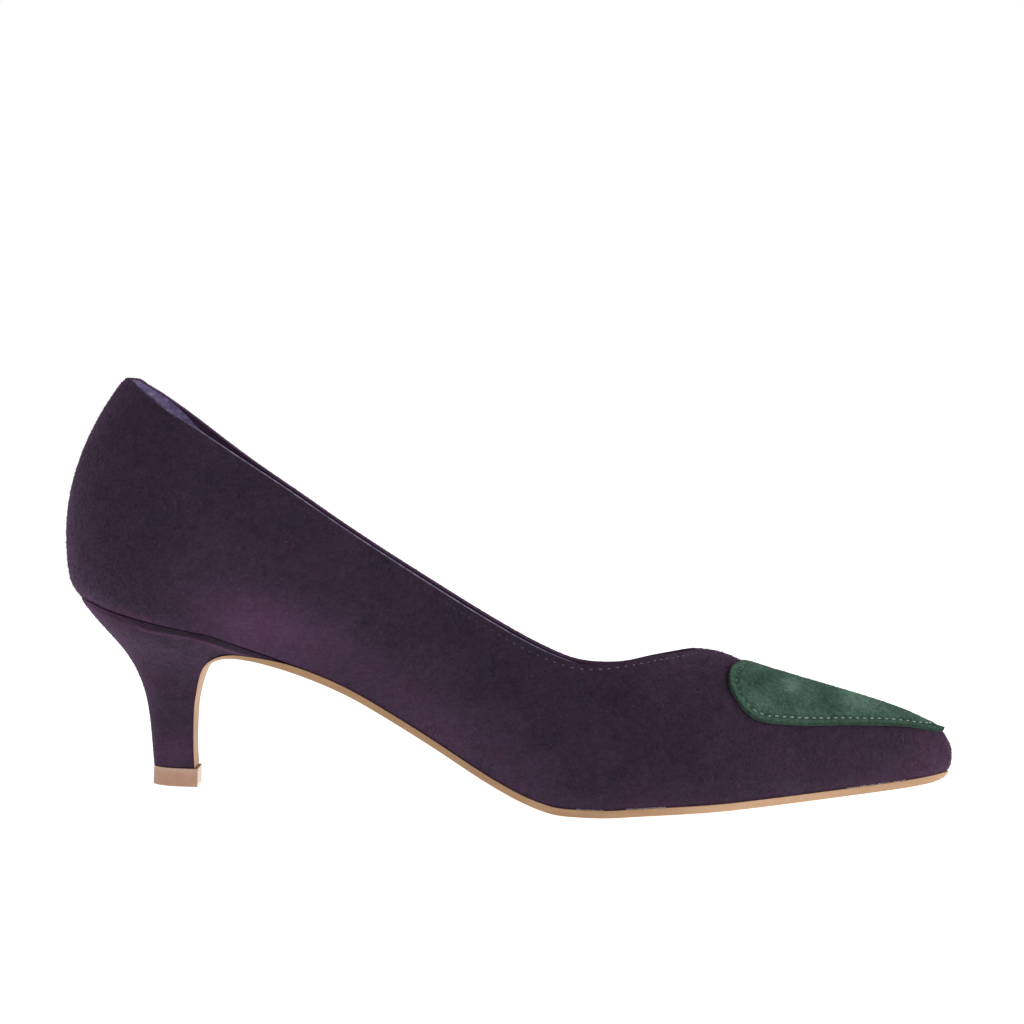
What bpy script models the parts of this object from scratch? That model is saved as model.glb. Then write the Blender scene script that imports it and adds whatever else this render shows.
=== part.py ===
# Right-foot court shoe on a low curved heel, with a heart patch over its pointed toe.
# Lengths are millimetres until a mesh is written in metres.
# +X points to the toe, -Y to the outer (little toe) side, +Y to the inner side, +Z up.
import bpy
import bmesh
import numpy as np
from collections import namedtuple

for old in list(bpy.data.objects):
    bpy.data.objects.remove(old, do_unlink=True)

MM = 0.001

# Driving sizes of the last
LENGTH = 253.0
BALL_WIDTH = 76.0
HEEL_LIFT = 50.0  # rise of the sole line from the forefoot to the back of the seat
INSTEP = 45.0  # floor to the vamp at the throat
BACK_HEIGHT = 115.0  # floor to the collar at the back

# Stock and clearances
WALL = 1.9  # suede and lining together
SOLE = 2.1
FLAP = 0.8  # sole leather pared thin over the heel breast
INSOLE = 2.0
PATCH = 0.6
GAP = 0.3
INSOLE_CLEARANCE = 0.5
PATCH_GAP = 0.5
SOLE_MARGIN = 0.5  # sole edge outside the feather line

# Rounding and lean of the two ends
HEEL_ROUND = 35.0
TOE_ROUND = 15.0
BACK_TUCK = 5.0
BACK_LEAN = 15.0
COUNTER_RISE = 42.5  # height over which the back leans in by BACK_LEAN
BACK_FADE = 70.0
TOE_TUCK = 1.6
TOE_LEAN = 3.0
TOE_FADE = 14.0

# Stations of the forefoot tread that lies flat on the floor, and of the throat, % of LENGTH
FLAT_SPAN = (55.5, 60)
THROAT = 71.2

# Side profile. station: % of LENGTH. lift: % of HEEL_LIFT. rise: feather to widest point, mm.
# ridge: centre line of the last over the floor, % of INSTEP.
Profile = namedtuple("Profile", "station lift rise ridge")
PROFILE = [
    Profile(0, 101.5, 20.0, 298),
    Profile(8, 93.0, 20.0, 295),
    Profile(15, 86.0, 20.0, 287),
    Profile(25, 73.0, 22.0, 251),
    Profile(32, 60.6, 23.0, 221),
    Profile(37, 47.4, 23.0, 199),
    Profile(43, 30.4, 21.0, 175),
    Profile(48, 15.6, 18.0, 157),
    Profile(52, 5.8, 15.5, 144),
    Profile(55.5, 0.0, 13.5, 133.5),
    Profile(60, 0.0, 11.5, 122),
    Profile(65, 2.0, 10.5, 111),
    Profile(71, 4.0, 9.4, 98.0),
    Profile(73.5, 4.8, 8.9, 97.0),
    Profile(75, 5.4, 8.7, 94.6),
    Profile(77, 6.4, 8.3, 90.1),
    Profile(85, 10.6, 7.0, 78.0),
    Profile(93, 15.2, 6.0, 66.5),
    Profile(97, 18.0, 5.5, 60.0),
    Profile(100, 21.0, 5.0, 54.5),
]

# Plan. Half widths in % of BALL_WIDTH at the feather line and at the widest girth of each section.
Plan = namedtuple("Plan", "station feather_outer feather_inner body_outer body_inner")
PLAN = [
    Plan(0, 31.5, 31.5, 35.0, 35.0),
    Plan(15, 31.5, 31.0, 34.7, 34.2),
    Plan(25, 31.2, 29.2, 34.2, 33.0),
    Plan(32, 30.8, 26.8, 34.2, 32.0),
    Plan(37, 31.6, 25.3, 35.5, 32.0),
    Plan(43, 34.2, 25.7, 38.2, 33.3),
    Plan(48, 38.4, 29.0, 42.0, 36.0),
    Plan(55, 45.3, 37.0, 48.5, 42.0),
    Plan(62.5, 48.7, 43.7, 51.3, 47.4),
    Plan(69, 46.0, 45.0, 48.3, 47.6),
    Plan(77, 36.8, 37.6, 39.1, 39.9),
    Plan(85, 25.3, 26.2, 27.6, 28.5),
    Plan(93, 14.4, 15.0, 16.5, 17.1),
    Plan(97, 9.6, 10.0, 11.6, 12.0),
    Plan(100, 6.8, 7.0, 8.8, 9.0),
]

# Topline. outer: height over the floor, mm. inner: how much higher the inner side runs, mm.
Topline = namedtuple("Topline", "station outer inner")
TOPLINE = [
    Topline(0, BACK_HEIGHT, 0.0),
    Topline(2.4, 112.4, 0.6),
    Topline(8, 106.0, 1.0),
    Topline(12, 102.4, 0.0),
    Topline(16, 98.0, -1.3),
    Topline(24, 87.8, -2.4),
    Topline(31, 76.7, -2.5),
    Topline(40, 63.2, -2.5),
    Topline(50, 49.3, -3.0),
    Topline(55, 43.6, -3.7),
    Topline(58.5, 41.8, -4.9),
    Topline(63, 42.8, -5.8),
    Topline(67, 44.1, -3.8),
    Topline(THROAT, 44.1, 0.0),
]

# Heel slices from the seat down. back and breast: (x, z) ends. width: share of the seat's width.
Slice = namedtuple("Slice", "back breast width")
LIP_TIP = 63.0
LIP_LAP = 2.5  # the sole leaves the upper this far ahead of the lip
LIP_SOLE = 1.4
THIN_BY = 3  # heel slice by which the sole is pared down to FLAP
SLICES = [
    Slice((5.4, 50.4), (57.0, 39.5), 1.00),
    Slice((8.0, 47.6), (51.0, 39.9), 0.95),
    Slice((11.5, 44.3), (46.8, 39.2), 0.86),
    Slice((14.8, 41.0), (43.3, 37.4), 0.72),
    Slice((17.8, 37.6), (41.0, 34.8), 0.57),
    Slice((20.4, 33.9), (39.7, 31.5), 0.45),
    Slice((22.7, 29.4), (38.9, 27.0), 0.37),
    Slice((24.5, 24.1), (38.3, 21.6), 0.315),
    Slice((25.6, 18.5), (38.3, 16.0), 0.285),
    Slice((26.5, 11.5), (38.5, 10.3), 0.27),
    Slice((27.2, 5.5), (38.9, 5.5), 0.265),
]
TOP_PIECE_HEIGHT = SLICES[-1].back[1] - GAP
TOP_PIECE_SPAN = (27.2, 40.3)
TOP_PIECE_WIDTH = 0.275

# Heart patch. station: % of LENGTH. girth: distance from the heart's own middle line, mm.
# The middle line runs from the point on the ridge to a cleft on the inner side of it.
Heart = namedtuple("Heart", "station girth")
HEART_CENTRE = 83.0
CLEFT_SHIFT = 4.0
HEART = [
    Heart(79.2, 0.0),
    Heart(76.9, 4.0),
    Heart(76.1, 8.0),
    Heart(75.4, 13.5),
    Heart(74.7, 17.7),
    Heart(74.3, 23.0),
    Heart(74.4, 28.4),
    Heart(75.0, 31.1),
    Heart(75.8, 33.3),
    Heart(77.0, 34.3),
    Heart(78.2, 33.2),
    Heart(79.5, 31.5),
    Heart(82.3, 27.7),
    Heart(87.8, 19.3),
    Heart(93.3, 11.4),
    Heart(96.3, 7.3),
    Heart(98.6, 3.6),
    Heart(99.8, 0.0),
]

# Mesh counts: shared stations from heel to toe, then rows, loops and points of each piece
HEEL_STATIONS = 10
WAIST_STATIONS = 14
FLAT_STATIONS = 3
WING_STATIONS = 10
VAMP_STATIONS = 12
VAMP_SPREAD = 1.4  # over 1: closer together just ahead of the throat
TOE_STATIONS = 5
STATION_MARGIN = 2.0
END_LOOPS = 7
UPPER_ROWS = 12
SECTION_STEPS = 60
ACROSS = 6
HEEL_STEPS = 25
SLICE_POINTS = 12
HEART_POINTS = 28
HEART_RINGS = 5
NORMAL_STEP = 0.25
MERGE = 0.02
SHARP = 40

OUTER, INNER = -1, 1  # sign of y on the two sides

# Finishes
SUEDE_ROUGHNESS = 0.95
LEATHER_ROUGHNESS = 0.5
SUEDE_COLOUR = (0.060, 0.028, 0.062)
LINING_COLOUR = (0.105, 0.075, 0.200)
TAN_COLOUR = (0.42, 0.20, 0.085)
HEART_COLOUR = (0.080, 0.115, 0.055)


def curve(places, values):
    # Smooth curve through the rows that never overshoots them.
    x = np.asarray(places, float)
    y = np.asarray(values, float)
    step = np.diff(x)
    rise = np.diff(y) / step
    slope = np.zeros_like(y)
    slope[0] = rise[0]
    slope[-1] = rise[-1]
    for k in range(1, len(x) - 1):
        if rise[k - 1] * rise[k] > 0:
            before = 2 * step[k] + step[k - 1]
            after = step[k] + 2 * step[k - 1]
            slope[k] = (before + after) / (before / rise[k - 1] + after / rise[k])

    def at(place):
        p = np.clip(place, x[0], x[-1])
        k = np.clip(np.searchsorted(x, p, side="right") - 1, 0, len(step) - 1)
        t = (p - x[k]) / step[k]
        ends = y[k] * (1 + 2 * t) * (1 - t) ** 2 + y[k + 1] * t * t * (3 - 2 * t)
        return ends + step[k] * t * (1 - t) * (slope[k] * (1 - t) - slope[k + 1] * t)

    return at


def along(table, name, unit):
    # One column of a table as a curve over the shoe's length.
    stations = [row.station * LENGTH / 100 for row in table]
    return curve(stations, [getattr(row, name) * unit for row in table])


lift_at = along(PROFILE, "lift", HEEL_LIFT / 100)
rise_at = along(PROFILE, "rise", 1)
ridge_at = along(PROFILE, "ridge", INSTEP / 100)
feather_at = {
    OUTER: along(PLAN, "feather_outer", BALL_WIDTH / 100),
    INNER: along(PLAN, "feather_inner", BALL_WIDTH / 100),
}
body_at = {
    OUTER: along(PLAN, "body_outer", BALL_WIDTH / 100),
    INNER: along(PLAN, "body_inner", BALL_WIDTH / 100),
}
topline_at = along(TOPLINE, "outer", 1)
inner_extra = along(TOPLINE, "inner", 1)


def quarter_turn(count):
    return np.linspace(0, np.pi / 2, count)


def fade(distance, reach):
    # 1 at an end of the shoe, falling softly to 0 at reach.
    t = np.clip(distance / reach, 0, 1)
    return 1 - t * t * (3 - 2 * t)


def end_round(station):
    # Share of the half width: both ends close as quarter ellipses.
    heel = np.clip(station / HEEL_ROUND, 0, 1)
    toe = np.clip((LENGTH - station) / TOE_ROUND, 0, 1)
    return np.sqrt(1 - (1 - heel) ** 2) * np.sqrt(1 - (1 - toe) ** 2)


def seat_at(x):
    # Underside of the upper and insole.
    return lift_at(x) + SOLE + GAP


def tuck_at(station):
    # How far the feather line lies forward of its station.
    return BACK_TUCK * fade(station, BACK_FADE) - TOE_TUCK * fade(LENGTH - station, TOE_FADE)


def even(points, count):
    # The same line with its points spread evenly.
    reach = np.concatenate([[0], np.cumsum(np.linalg.norm(np.diff(points, axis=0), axis=1))])
    places = np.linspace(0, reach[-1], count + 1)
    return np.stack([np.interp(places, reach, points[:, axis]) for axis in range(3)], 1)


def section(station, side, rim=None):
    # One side of the last: feather line, widest point, then a quarter ellipse to the ridge or rim.
    swell = end_round(station)
    feather = feather_at[side](station) * swell
    body = body_at[side](station) * swell
    seat = seat_at(station + tuck_at(station))
    rise = rise_at(station)
    dome = ridge_at(station) - seat - rise
    reach = np.pi / 2
    if rim is not None:
        reach = np.arcsin(np.clip((rim - seat - rise) / dome, 0, 1))
    low = quarter_turn(SECTION_STEPS)[:-1]
    high = np.linspace(0, reach, SECTION_STEPS)
    tuck = np.concatenate([1 - np.sin(low), np.zeros(SECTION_STEPS)])
    over = np.concatenate([np.zeros(SECTION_STEPS - 1), dome * np.sin(high)])
    x = station + tuck * tuck_at(station)
    x = x + BACK_LEAN * (over / COUNTER_RISE) ** 2 * fade(station, BACK_FADE)
    x = x - TOE_LEAN * (over / dome) ** 2 * fade(LENGTH - station, TOE_FADE)
    y = np.concatenate([feather + (body - feather) * np.sin(low), body * np.cos(high)])
    z = seat + np.concatenate([rise * (1 - np.cos(low)), rise + dome * np.sin(high)])
    return np.stack([x, side * y, z], 1)


def outline(offset):
    # Half widths of the feather line over x, moved out by offset.
    turn = quarter_turn(SECTION_STEPS)
    heel = HEEL_ROUND * (1 - np.cos(turn))
    toe = LENGTH - TOE_ROUND * (1 - np.sin(turn))
    middle = np.linspace(HEEL_ROUND, LENGTH - TOE_ROUND, 3 * SECTION_STEPS)[1:-1]
    stations = np.concatenate([heel, middle, toe])
    sides = {}
    for side in (OUTER, INNER):
        x = stations + tuck_at(stations)
        y = feather_at[side](stations) * end_round(stations)
        across = np.gradient(x)
        out = np.gradient(y)
        across[0] = across[-1] = 0
        size = np.hypot(across, out)
        sides[side] = (x - offset * out / size, y + offset * across / size)
    return sides


def half_width(sides, side, x):
    return np.interp(x, sides[side][0], sides[side][1], left=0, right=0)


def material(name, colour, roughness):
    made = bpy.data.materials.new(name)
    made.use_nodes = True
    shader = made.node_tree.nodes["Principled BSDF"]
    shader.inputs["Base Color"].default_value = (*colour, 1)
    shader.inputs["Roughness"].default_value = roughness
    shader.inputs["Metallic"].default_value = 0
    return made


def add_object(name, bm, finish):
    bmesh.ops.remove_doubles(bm, verts=bm.verts, dist=MERGE * MM)
    mesh = bpy.data.meshes.new(name)
    bm.to_mesh(mesh)
    bm.free()
    mesh.materials.append(finish)
    mesh.shade_smooth()
    mesh.set_sharp_from_angle(angle=np.radians(SHARP))
    made = bpy.data.objects.new(name, mesh)
    bpy.context.collection.objects.link(made)
    made.parent = shoe
    return made


def closed(bm):
    # Weld a closed skin and turn its faces outwards.
    bmesh.ops.remove_doubles(bm, verts=bm.verts, dist=MERGE * MM)
    bmesh.ops.recalc_face_normals(bm, faces=bm.faces)
    if bm.calc_volume(signed=True) < 0:
        bmesh.ops.reverse_faces(bm, faces=bm.faces)
    return bm


def loft(name, loops, finish):
    # Skin over loops whose points k and -1-k lie opposite each other, closed at both ends.
    bm = bmesh.new()
    rings = [[bm.verts.new(np.asarray(point) * MM) for point in loop] for loop in loops]
    for ring, after in zip(rings, rings[1:]):
        for k in range(len(ring)):
            bm.faces.new((ring[k - 1], ring[k], after[k], after[k - 1]))
    for ring in (rings[0], rings[-1]):
        for k in range(len(ring) // 2 - 1):
            bm.faces.new((ring[k], ring[k + 1], ring[-2 - k], ring[-1 - k]))
    return add_object(name, closed(bm), finish)


def strip_loop(top, bottom, outer, inner):
    # Cross-section of a flat strip between two (x, z) lines, from -outer to +inner.
    widths = np.linspace(-outer, inner, ACROSS + 1)
    over = [(top[0], y, top[1]) for y in widths]
    under = [(bottom[0], y, bottom[1]) for y in widths[::-1]]
    return over + under


def bench_stations():
    # Stations shared by upper, insole and outsole, close together where the plan or the throat turns.
    flat_start, flat_end = np.array(FLAT_SPAN) * LENGTH / 100
    throat = THROAT * LENGTH / 100
    toe_start = LENGTH - TOE_ROUND
    heel = HEEL_ROUND * (1 - np.cos(quarter_turn(HEEL_STATIONS)))
    waist = np.linspace(HEEL_ROUND, flat_start, WAIST_STATIONS)
    flat = np.linspace(flat_start, flat_end, FLAT_STATIONS)
    wings = flat_end + (throat - flat_end) * np.sin(quarter_turn(WING_STATIONS))
    vamp = throat + (toe_start - throat) * np.linspace(0, 1, VAMP_STATIONS) ** VAMP_SPREAD
    toe = toe_start + TOE_ROUND * np.sin(quarter_turn(TOE_STATIONS))
    return np.concatenate([heel, waist[1:], flat[1:], wings[1:], vamp[1:], toe[1:]])


def stations_between(start, end):
    # Shared stations that lie well inside a stretch of x.
    stations = bench_stations()
    return stations[(stations > start + STATION_MARGIN) & (stations < end - STATION_MARGIN)]


def make_upper():
    bm = bmesh.new()
    throat = THROAT * LENGTH / 100
    for side in (OUTER, INNER):
        grid = []
        for station in bench_stations():
            rim = None
            if station < throat:
                rim = topline_at(station) + (inner_extra(station) if side == INNER else 0)
                rim = min(rim, ridge_at(station))
            grid.append([bm.verts.new(point * MM) for point in even(section(station, side, rim), UPPER_ROWS)])
        for line, after in zip(grid, grid[1:]):
            for k in range(UPPER_ROWS):
                corners = (line[k], after[k], after[k + 1], line[k + 1])
                bm.faces.new(corners if side == OUTER else corners[::-1])
    made = add_object("upper", bm, material("aubergine suede", SUEDE_COLOUR, SUEDE_ROUGHNESS))
    wall = made.modifiers.new("wall", "SOLIDIFY")
    wall.thickness = WALL * MM
    wall.offset = -1
    wall.use_even_offset = True
    return made


def make_insole():
    inset = outline(-WALL - INSOLE_CLEARANCE)
    heel_end = max(inset[side][0][0] for side in (OUTER, INNER))
    toe_end = min(inset[side][0][-1] for side in (OUTER, INNER))
    heel = heel_end + HEEL_ROUND * (1 - np.cos(quarter_turn(END_LOOPS)))
    toe = toe_end - TOE_ROUND * (1 - np.sin(quarter_turn(END_LOOPS)))
    loops = []
    for x in np.concatenate([heel, stations_between(heel[-1], toe[0]), toe]):
        top = (x, seat_at(x) + INSOLE)
        bottom = (x, seat_at(x))
        loops.append(strip_loop(top, bottom, half_width(inset, OUTER, x), half_width(inset, INNER, x)))
    return loft("insole", loops, material("insole leather", LINING_COLOUR, LEATHER_ROUGHNESS))


heel_places = np.arange(len(SLICES))
back_x = curve(heel_places, [row.back[0] for row in SLICES])
back_z = curve(heel_places, [row.back[1] for row in SLICES])
breast_x = curve(heel_places, [row.breast[0] for row in SLICES])
breast_z = curve(heel_places, [row.breast[1] for row in SLICES])
heel_width = curve(heel_places, [row.width for row in SLICES])
heel_steps = np.linspace(0, len(SLICES) - 1, HEEL_STEPS)


def seat_shares():
    # Places from the back of the seat to its front, close together at the round back.
    return 1 - np.cos(quarter_turn(SLICE_POINTS))


def slice_loop(start, end, width, seated=False):
    # D-shaped slice of the heel between two (x, z) ends, like the seat's own outline.
    sides = outline(0)
    seat_start = tuck_at(0)
    loop = []
    for side, shares in ((OUTER, seat_shares()), (INNER, seat_shares()[::-1])):
        for share in shares:
            x = start[0] + share * (end[0] - start[0])
            z = start[1] + share * (end[1] - start[1])
            if seated:
                z = seat_at(x) - GAP
            half = half_width(sides, side, seat_start + share * (LIP_TIP - seat_start))
            loop.append((x, side * half * width, z))
    return loop


def make_heel():
    loops = [slice_loop((tuck_at(0), 0), (LIP_TIP, 0), 1, seated=True)]
    for place in heel_steps:
        back = (back_x(place), back_z(place))
        breast = (breast_x(place), breast_z(place))
        loops.append(slice_loop(back, breast, heel_width(place)))
    return loft("heel", loops, material("heel suede", SUEDE_COLOUR, SUEDE_ROUGHNESS))


def make_top_piece():
    start, end = TOP_PIECE_SPAN
    loops = [slice_loop((start, z), (end, z), TOP_PIECE_WIDTH) for z in (0, TOP_PIECE_HEIGHT)]
    return loft("top_piece", loops, material("top piece", TAN_COLOUR, LEATHER_ROUGHNESS))


def flap_loops(sides, lap):
    # The sole leather under the heel's lip and down its breast, thinned on the way.
    face = np.stack([breast_x(heel_steps), breast_z(heel_steps)], 1)
    path = np.concatenate([[(lap, seat_at(lap) - GAP)], face])
    run = np.gradient(path, axis=0)[1:]
    away = np.stack([-run[:, 1], run[:, 0]], 1)
    away = away / np.linalg.norm(away, axis=1, keepdims=True)
    loops = []
    for place, point, normal in zip(heel_steps, face, away):
        stock = LIP_SOLE + (FLAP - LIP_SOLE) * min(1, place / THIN_BY)
        widths = [half_width(sides, side, LIP_TIP) * heel_width(place) for side in (OUTER, INNER)]
        loops.append(strip_loop(point + normal * GAP, point + normal * (GAP + stock), *widths))
    return loops


def make_outsole():
    # From the toe along the waist, then round under the heel.
    sides = outline(SOLE_MARGIN)
    toe_end = min(sides[side][0][-1] for side in (OUTER, INNER))
    toe = toe_end - TOE_ROUND * (1 - np.sin(quarter_turn(END_LOOPS)))
    lap = LIP_TIP + LIP_LAP
    loops = []
    for x in np.concatenate([toe[::-1], stations_between(lap, toe[0])[::-1], [lap]]):
        widths = [half_width(sides, side, x) for side in (OUTER, INNER)]
        loops.append(strip_loop((x, seat_at(x) - GAP), (x, lift_at(x)), *widths))
    loops = loops + flap_loops(sides, lap)
    return loft("outsole", loops, material("sole leather", TAN_COLOUR, LEATHER_ROUGHNESS))


def on_vamp(station, girth):
    # Point of the upper's outer face; girth is measured from the ridge, negative on the outer side.
    line = section(station, OUTER if girth < 0 else INNER)[::-1]
    reach = np.concatenate([[0], np.cumsum(np.linalg.norm(np.diff(line, axis=0), axis=1))])
    return np.array([np.interp(abs(girth), reach, line[:, axis]) for axis in range(3)])


def off_vamp(station, girth, height):
    # Point at a height over the upper's outer face, along its normal.
    fore = on_vamp(station + NORMAL_STEP, girth) - on_vamp(station - NORMAL_STEP, girth)
    across = on_vamp(station, girth + NORMAL_STEP) - on_vamp(station, girth - NORMAL_STEP)
    normal = np.cross(fore, across)
    return on_vamp(station, girth) + normal / np.linalg.norm(normal) * height


def heart_outline():
    # Half outline from the cleft round the lobe to the point, as (station, girth) in millimetres.
    rows = np.array([(row.station * LENGTH / 100, row.girth) for row in HEART])
    reach = np.concatenate([[0], np.cumsum(np.linalg.norm(np.diff(rows, axis=0), axis=1))])
    places = np.linspace(0, reach[-1], HEART_POINTS)
    return np.stack([curve(reach, rows[:, 0])(places), curve(reach, rows[:, 1])(places)], 1)


def inner_shift(station):
    # Girth of the heart's middle line at a station, in millimetres.
    cleft, point = HEART[0].station * LENGTH / 100, HEART[-1].station * LENGTH / 100
    return CLEFT_SHIFT * (point - station) / (point - cleft)


def make_heart():
    half = heart_outline()
    edge = np.concatenate([half * (1, -1), half[-2:0:-1]])
    edge[:, 1] += inner_shift(edge[:, 0])
    middle_station = HEART_CENTRE * LENGTH / 100
    centre = np.array([middle_station, inner_shift(middle_station)])
    bm = bmesh.new()
    layers = []
    for height in (PATCH_GAP, PATCH_GAP + PATCH):
        middle = bm.verts.new(off_vamp(*centre, height) * MM)
        rings = []
        for share in np.linspace(0, 1, HEART_RINGS + 1)[1:]:
            places = centre + share * (edge - centre)
            rings.append([bm.verts.new(off_vamp(*place, height) * MM) for place in places])
        layers.append(rings[-1])
        for k in range(len(edge)):
            bm.faces.new((middle, rings[0][k - 1], rings[0][k]))
            for ring, after in zip(rings, rings[1:]):
                bm.faces.new((ring[k - 1], after[k - 1], after[k], ring[k]))
    under, over = layers
    for k in range(len(edge)):
        bm.faces.new((under[k - 1], under[k], over[k], over[k - 1]))
    return add_object("heart_patch", closed(bm), material("green suede", HEART_COLOUR, SUEDE_ROUGHNESS))


shoe = bpy.data.objects.new("shoe", None)
bpy.context.collection.objects.link(shoe)
pieces = [make_upper(), make_insole(), make_heel(), make_top_piece(), make_outsole(), make_heart()]

# Centre the shoe over the origin; the floor is already at zero.
corners = np.array([corner.co for piece in pieces for corner in piece.data.vertices])
middle = (corners.min(axis=0) + corners.max(axis=0)) / 2
shoe.location = (-middle[0], -middle[1], 0)
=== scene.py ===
import math
import bpy
import numpy as np
from mathutils import Matrix, Vector
from mathutils.bvhtree import BVHTree


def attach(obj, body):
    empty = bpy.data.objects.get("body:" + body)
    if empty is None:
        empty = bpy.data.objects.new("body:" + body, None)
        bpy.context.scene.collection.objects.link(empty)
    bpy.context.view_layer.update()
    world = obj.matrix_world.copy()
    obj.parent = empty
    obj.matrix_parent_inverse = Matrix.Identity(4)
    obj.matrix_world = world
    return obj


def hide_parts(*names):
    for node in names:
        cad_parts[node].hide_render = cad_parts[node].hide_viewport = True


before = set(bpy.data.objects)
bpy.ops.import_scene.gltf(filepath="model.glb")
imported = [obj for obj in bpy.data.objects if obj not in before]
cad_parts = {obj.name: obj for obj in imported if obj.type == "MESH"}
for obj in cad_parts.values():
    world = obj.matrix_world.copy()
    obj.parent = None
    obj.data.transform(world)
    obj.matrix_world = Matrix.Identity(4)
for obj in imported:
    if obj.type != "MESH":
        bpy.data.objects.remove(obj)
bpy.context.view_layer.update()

mm = 0.001  # sizes of the shoe are given in millimetres, angles in degrees
print("frame loaded:", sorted(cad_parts))

meshing = {"weld": 0.02, "flatAngle": 60, "cornerAngle": 120, "sharpAngle": 45, "smoothAngle": 40}


def pick(piece):  # only this piece is selected and active
    if bpy.context.mode != "OBJECT":
        bpy.ops.object.mode_set(mode="OBJECT")
    bpy.ops.object.select_all(action="DESELECT")
    piece.select_set(True)
    bpy.context.view_layer.objects.active = piece


def openEdit(piece, kind):  # edit mode, where points, edges or faces are picked
    pick(piece)
    bpy.ops.object.mode_set(mode="EDIT")
    bpy.ops.mesh.select_mode(type=kind)


def closeEdit():
    bpy.ops.object.mode_set(mode="OBJECT")


def copyNode(node, name):  # a CAD node's mesh, welded and turned back into quads
    piece = bpy.data.objects.new(name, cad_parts[node].data.copy())
    bpy.context.scene.collection.objects.link(piece)
    piece.data.materials.clear()
    pick(piece)
    bpy.ops.mesh.customdata_custom_splitnormals_clear()
    bpy.ops.object.mode_set(mode="EDIT")
    bpy.ops.mesh.select_all(action="SELECT")
    bpy.ops.mesh.remove_doubles(threshold=meshing["weld"] * mm)
    flat = math.radians(meshing["flatAngle"])
    corner = math.radians(meshing["cornerAngle"])
    bpy.ops.mesh.tris_convert_to_quads(face_threshold=flat, shape_threshold=corner)
    closeEdit()
    return piece


def joinedPiece(name, points, faces):  # many small shapes as one mesh
    mesh = bpy.data.meshes.new(name)
    mesh.from_pydata(points.tolist(), [], faces)
    piece = bpy.data.objects.new(name, mesh)
    bpy.context.scene.collection.objects.link(piece)
    return piece


def selectSharp(piece, angle=meshing["sharpAngle"], wanted=None):  # wanted: a test of an edge's middle
    openEdit(piece, "EDGE")
    bpy.ops.mesh.select_all(action="DESELECT")
    bpy.ops.mesh.edges_select_sharp(sharpness=math.radians(angle))
    closeEdit()
    if wanted:
        points = piece.data.vertices
        for edge in piece.data.edges:
            if edge.select:
                first, second = edge.vertices
                edge.select = wanted((points[first].co + points[second].co) / 2)


def bevelSelected(piece, width, steps):
    openEdit(piece, "EDGE")
    bpy.ops.mesh.bevel(offset=width * mm, offset_type="OFFSET", segments=steps, profile=0.5, affect="EDGES",
                       clamp_overlap=True)
    closeEdit()


def creaseSelected(piece):
    openEdit(piece, "EDGE")
    bpy.ops.transform.edge_crease(value=1)
    closeEdit()


def selectedChains(piece):  # selected edges as ordered chains of points
    links = {}
    for edge in piece.data.edges:
        if edge.select:
            first, second = edge.vertices
            links.setdefault(first, []).append(second)
            links.setdefault(second, []).append(first)
    chains = []
    while links:
        here = next(iter(links))
        chain = [here]
        while here in links:
            ahead = [there for there in links.pop(here) if there in links]
            if ahead:
                here = ahead[0]
                chain.append(here)
        chains.append(np.array([piece.data.vertices[index].co for index in chain]))
    return chains


def applyModifier(piece, kind, **settings):
    pick(piece)
    modifier = piece.modifiers.new(kind.title(), kind)
    for key, value in settings.items():
        setattr(modifier, key, value)
    bpy.ops.object.modifier_apply(modifier=modifier.name)


def subdivide(piece, levels):
    applyModifier(piece, "SUBSURF", levels=levels, render_levels=levels)


def smooth(piece, angle=meshing["smoothAngle"]):
    pick(piece)
    bpy.ops.object.shade_smooth_by_angle(angle=math.radians(angle))


def rowsOf(piece, kind):  # one row of three numbers for each point
    flat = np.empty(len(piece.data.vertices) * 3)
    piece.data.vertices.foreach_get(kind, flat)
    return flat.reshape(-1, 3)


def pointsOf(piece):
    return rowsOf(piece, "co")


def normalsOf(piece):
    return rowsOf(piece, "normal")


def setPoints(piece, points):
    piece.data.vertices.foreach_set("co", np.asarray(points, np.float32).ravel())
    piece.data.update()


def surfaceOf(piece):
    faces = [face.vertices[:] for face in piece.data.polygons]
    return BVHTree.FromPolygons([v.co.copy() for v in piece.data.vertices], faces)


def dress(piece, material, slot, *nodes):  # finish, body and the CAD nodes it stands for
    piece.data.materials.clear()
    piece.data.materials.append(material)
    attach(piece, "root")
    if nodes:
        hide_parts(*nodes)
    print("made", piece.name, len(piece.data.polygons), "faces")


def heightAlong(node, pickHeight):  # height of a CAD node over x, from its own cross-sections
    found = {}
    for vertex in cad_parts[node].data.vertices:
        found.setdefault(round(vertex.co.x, 5), []).append(vertex.co.z)
    xs = sorted(found)
    return lambda x: np.interp(x, xs, [pickHeight(found[key]) for key in xs])


def bell(away, width):  # 1 in the middle, fading softly to both sides
    return np.exp(-(away / width) ** 2)


def unitAlong(vectors, axes, least=1e-6):  # the vectors kept to these axes, at unit length
    kept = vectors * axes
    return kept / np.maximum(np.linalg.norm(kept, axis=1, keepdims=True), least)


# Finishes
suedeClouds = {  # detail and roughness of each cloud, where two of them start, and when a speck shows
    "fibre": (3, 0.7), "tuft": (2, 0.6), "cloud": (2, 0.55), "speck": (1, 0.5), "hue": (2, 0.5),
    "speckShift": (3, 1, 2), "hueShift": (1, 4, 2), "speckStart": 0.66, "speckFull": 0.76, "tuftHeight": 0.8,
}
leatherClouds = {"grain": (4, 0.6), "cloud": (3, 0.55)}


def newMaterial(name):
    material = bpy.data.materials.new(name)
    material.use_nodes = True
    tree = material.node_tree
    return material, tree, tree.nodes["Principled BSDF"]


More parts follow.
